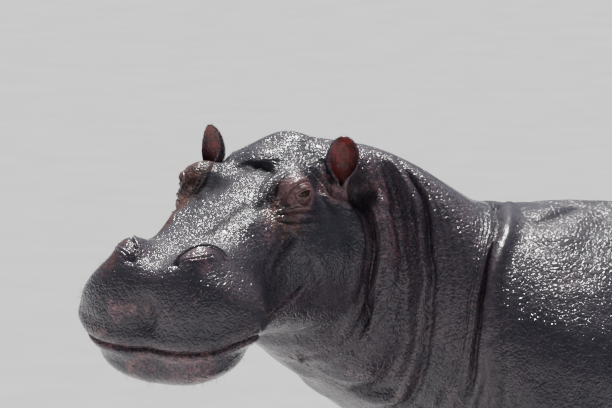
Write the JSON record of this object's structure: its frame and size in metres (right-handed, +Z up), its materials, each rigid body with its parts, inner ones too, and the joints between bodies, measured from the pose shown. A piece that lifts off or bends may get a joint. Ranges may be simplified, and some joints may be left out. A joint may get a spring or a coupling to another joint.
{
  "type": "hippopotamus",
  "caption": "Life-size standing hippopotamus with its head raised and turned to its left, a still museum-style model.",
  "frame": {"origin": "middle of the animal's box, on the floor", "axes": "+Z up, -Y the way the trunk faces, +X the animal's left side"},
  "size_m": [1.2534, 3.1966, 1.6374],
  "materials": {
    "hide": "wet, slate grey to purple-grey",
    "face": "wet, purple-grey with pinkish brown round the eyes",
    "ear": "satin, red-brown inside",
    "eye": "gloss, dark brown",
    "nail": "matt horn"
  },
  "bodies": {
    "root": {"head": "face", "lower_jaw": "face", "eye_left": "eye", "ear_left": "ear", "eye_right": "eye", "ear_right": "ear", "trunk": "hide", "neck": "hide", "foreleg_left": "hide", "nail_foreleg_left_1": "nail", "nail_foreleg_left_2": "nail", "nail_foreleg_left_3": "nail", "nail_foreleg_left_4": "nail", "hindleg_left": "hide", "nail_hindleg_left_1": "nail", "nail_hindleg_left_2": "nail", "nail_hindleg_left_3": "nail", "nail_hindleg_left_4": "nail", "foreleg_right": "hide", "nail_foreleg_right_1": "nail", "nail_foreleg_right_2": "nail", "nail_foreleg_right_3": "nail", "nail_foreleg_right_4": "nail", "hindleg_right": "hide", "nail_hindleg_right_1": "nail", "nail_hindleg_right_2": "nail", "nail_hindleg_right_3": "nail", "nail_hindleg_right_4": "nail", "tail": "hide"}
  },
  "joints": []
}
